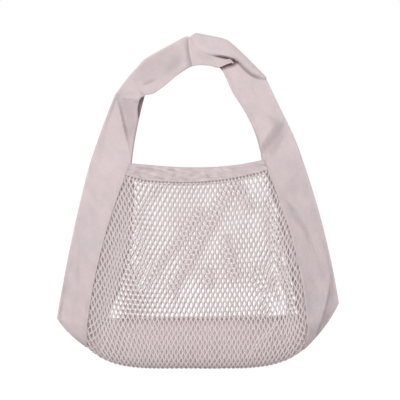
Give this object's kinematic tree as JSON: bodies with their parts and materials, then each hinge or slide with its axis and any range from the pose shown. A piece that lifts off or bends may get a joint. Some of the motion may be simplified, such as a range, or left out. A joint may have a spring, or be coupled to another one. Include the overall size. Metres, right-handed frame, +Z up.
{
  "type": "mesh produce bag",
  "caption": "Soft cotton mesh produce bag: front and back netting between folded woven side panels, which run up into one shoulder strap.",
  "frame": {"origin": "under the middle of the bag, level with its lowest point as it hangs", "axes": "+Z up along the hanging bag, +X across the bag to the right of someone who faces its front, +Y from its front to its back"},
  "size_m": [0.4628, 0.0738, 0.5511],
  "materials": {
    "panel_cotton": "matte",
    "strap_cotton": "matte",
    "netting_cotton": "matte",
    "seam_tape_cotton": "matte",
    "stitching_thread": "matte"
  },
  "bodies": {
    "shoulder": {"strap_left": "strap_cotton", "strap_right": "strap_cotton", "strap_lap_tacks": "stitching_thread"},
    "bag": {"side_panel_left": "panel_cotton", "side_panel_right": "panel_cotton", "base_panel": "panel_cotton", "netting_front": "netting_cotton", "netting_back": "netting_cotton", "mouth_band_front": "strap_cotton", "mouth_band_back": "strap_cotton", "seam_tape_front_left": "seam_tape_cotton", "seam_tape_front_right": "seam_tape_cotton", "seam_tape_back_left": "seam_tape_cotton", "seam_tape_back_right": "seam_tape_cotton", "base_tape_front": "seam_tape_cotton", "base_tape_back": "seam_tape_cotton", "mouth_corner_tacks": "stitching_thread"}
  },
  "joints": [
    {"name": "strap_swing", "type": "hinge", "parent": "shoulder", "child": "bag", "pos_m": [0, 0, 0.449], "axis": [1, 0, 0], "range_deg": [-60, 60]}
  ]
}
